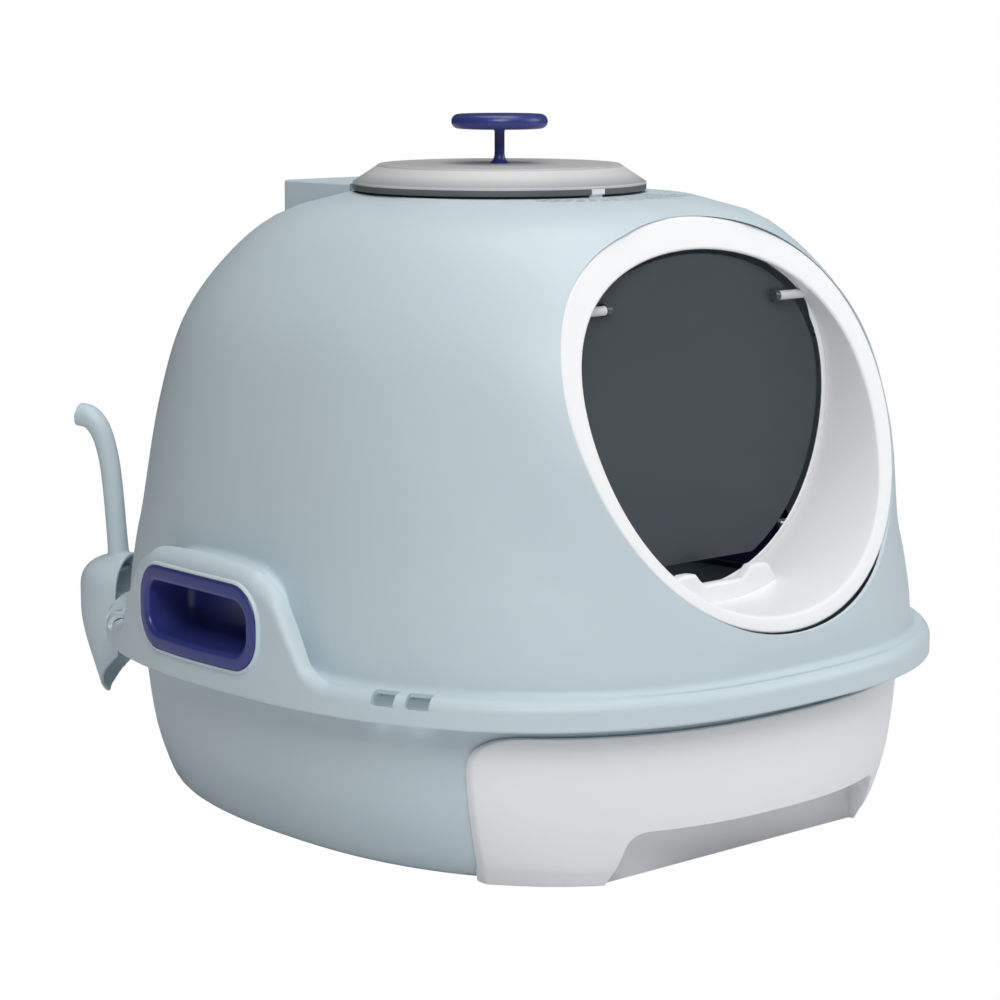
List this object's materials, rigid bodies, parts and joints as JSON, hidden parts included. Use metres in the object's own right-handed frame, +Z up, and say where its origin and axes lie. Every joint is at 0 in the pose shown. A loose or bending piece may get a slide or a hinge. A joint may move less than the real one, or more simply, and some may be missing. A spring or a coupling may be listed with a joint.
{
  "type": "covered litter box",
  "caption": "Covered litter box with a front drawer, lift-off dome hood, entry ring with a swinging flap, flip lid over a filter, side hand-holds and a hanging scoop.",
  "frame": {"origin": "on the floor under the middle of the pan and the hood's rim", "axes": "+Z up, the entry and the drawer face -Y, +X to the right of someone who looks at the entry"},
  "size_m": [0.5126, 0.5637, 0.4634],
  "materials": {
    "shell_plastic": "satin moulded plastic",
    "white_plastic": "satin moulded plastic",
    "blue_plastic": "satin moulded plastic",
    "frosted_plastic": "frosted",
    "smoky_plastic": "smoky, smooth",
    "pin_plastic": "satin",
    "black_rubber": "matte",
    "charcoal_felt": "felted fibre",
    "steel": "zinc plated"
  },
  "bodies": {
    "pan": {"base_shell": "shell_plastic"},
    "drawer": {"litter_tray": "white_plastic", "drawer_front": "white_plastic", "drawer_screw_left": "steel", "drawer_screw_right": "steel"},
    "hood": {"hood_shell": "shell_plastic", "entry_collar": "white_plastic", "flap_frame": "white_plastic", "flap_pin_left": "pin_plastic", "flap_pin_right": "pin_plastic", "collar_screw_1": "steel", "collar_screw_2": "steel", "collar_screw_3": "steel", "collar_screw_4": "steel", "handle_insert_left": "blue_plastic", "handle_insert_right": "blue_plastic", "lid_hinge_pin": "steel", "lid_seal": "black_rubber", "lid_catch": "white_plastic", "filter_tray": "white_plastic", "charcoal_filter": "charcoal_felt"},
    "flap": {"entry_flap": "smoky_plastic"},
    "lid": {"vent_lid": "frosted_plastic", "lid_knob": "blue_plastic", "knob_screw": "steel"},
    "scoop": {"scoop": "shell_plastic"}
  },
  "joints": [
    {"name": "drawer_slide", "type": "slide", "parent": "pan", "child": "drawer", "axis": [0, -1, 0], "range_m": [0, 0.36]},
    {"name": "hood_lift", "type": "slide", "parent": "pan", "child": "hood", "axis": [0, 0, 1], "range_m": [0, 0.25]},
    {"name": "flap_swing", "type": "hinge", "parent": "hood", "child": "flap", "pos_m": [0, -0.1697, 0.349], "axis": [1, 0, 0], "range_deg": [-60, 75]},
    {"name": "lid_hinge", "type": "hinge", "parent": "hood", "child": "lid", "pos_m": [0, 0.119, 0.4186], "axis": [-1, 0, 0], "range_deg": [0, 95]},
    {"name": "scoop_lift", "type": "slide", "parent": "hood", "child": "scoop", "axis": [0, 0, 1], "range_m": [0, 0.15]}
  ]
}
